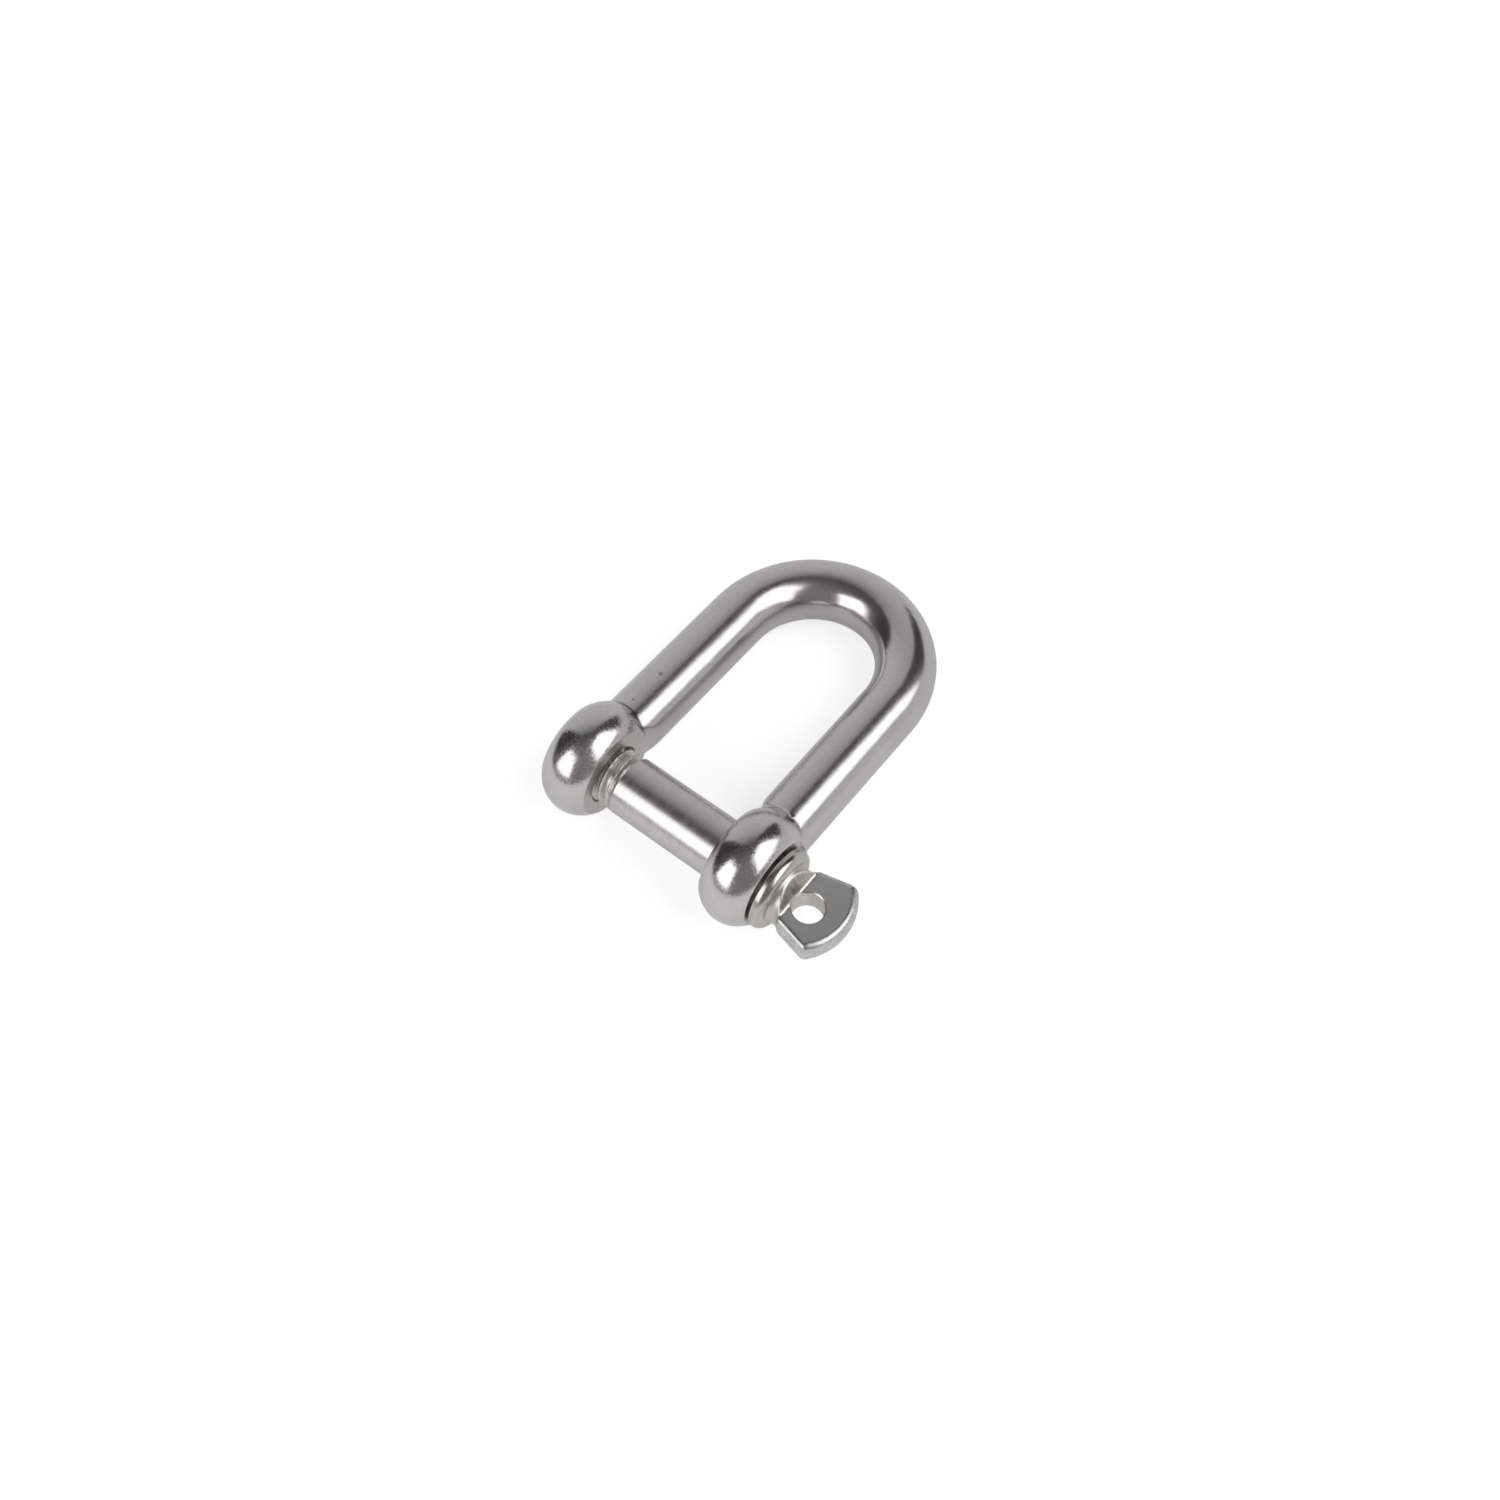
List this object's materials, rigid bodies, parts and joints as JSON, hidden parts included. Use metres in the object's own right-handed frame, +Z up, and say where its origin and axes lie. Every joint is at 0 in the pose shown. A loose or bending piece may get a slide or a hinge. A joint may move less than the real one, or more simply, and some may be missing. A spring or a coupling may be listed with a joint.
{
  "type": "d shackle",
  "caption": "Straight D shackle of polished stainless steel: a round bar bent to a D with an eye at each end, closed by a screw pin with a collar and a flat, drilled head.",
  "frame": {"origin": "on the pin's axis, midway between the two eyes", "axes": "+X along the pin towards its head, +Y from the pin towards the bow, +Z up as the shackle lies on its two eyes and its bow"},
  "size_m": [0.0534, 0.0659, 0.019],
  "materials": {
    "polished_bar": "polished",
    "turned_pin": "polished"
  },
  "bodies": {
    "shackle_body": {"shackle_body": "polished_bar"},
    "screw_pin": {"screw_pin": "turned_pin"}
  },
  "joints": [
    {"name": "pin_withdraw", "type": "slide", "parent": "shackle_body", "child": "screw_pin", "axis": [1, 0, 0], "range_m": [0, 0.042]}
  ]
}
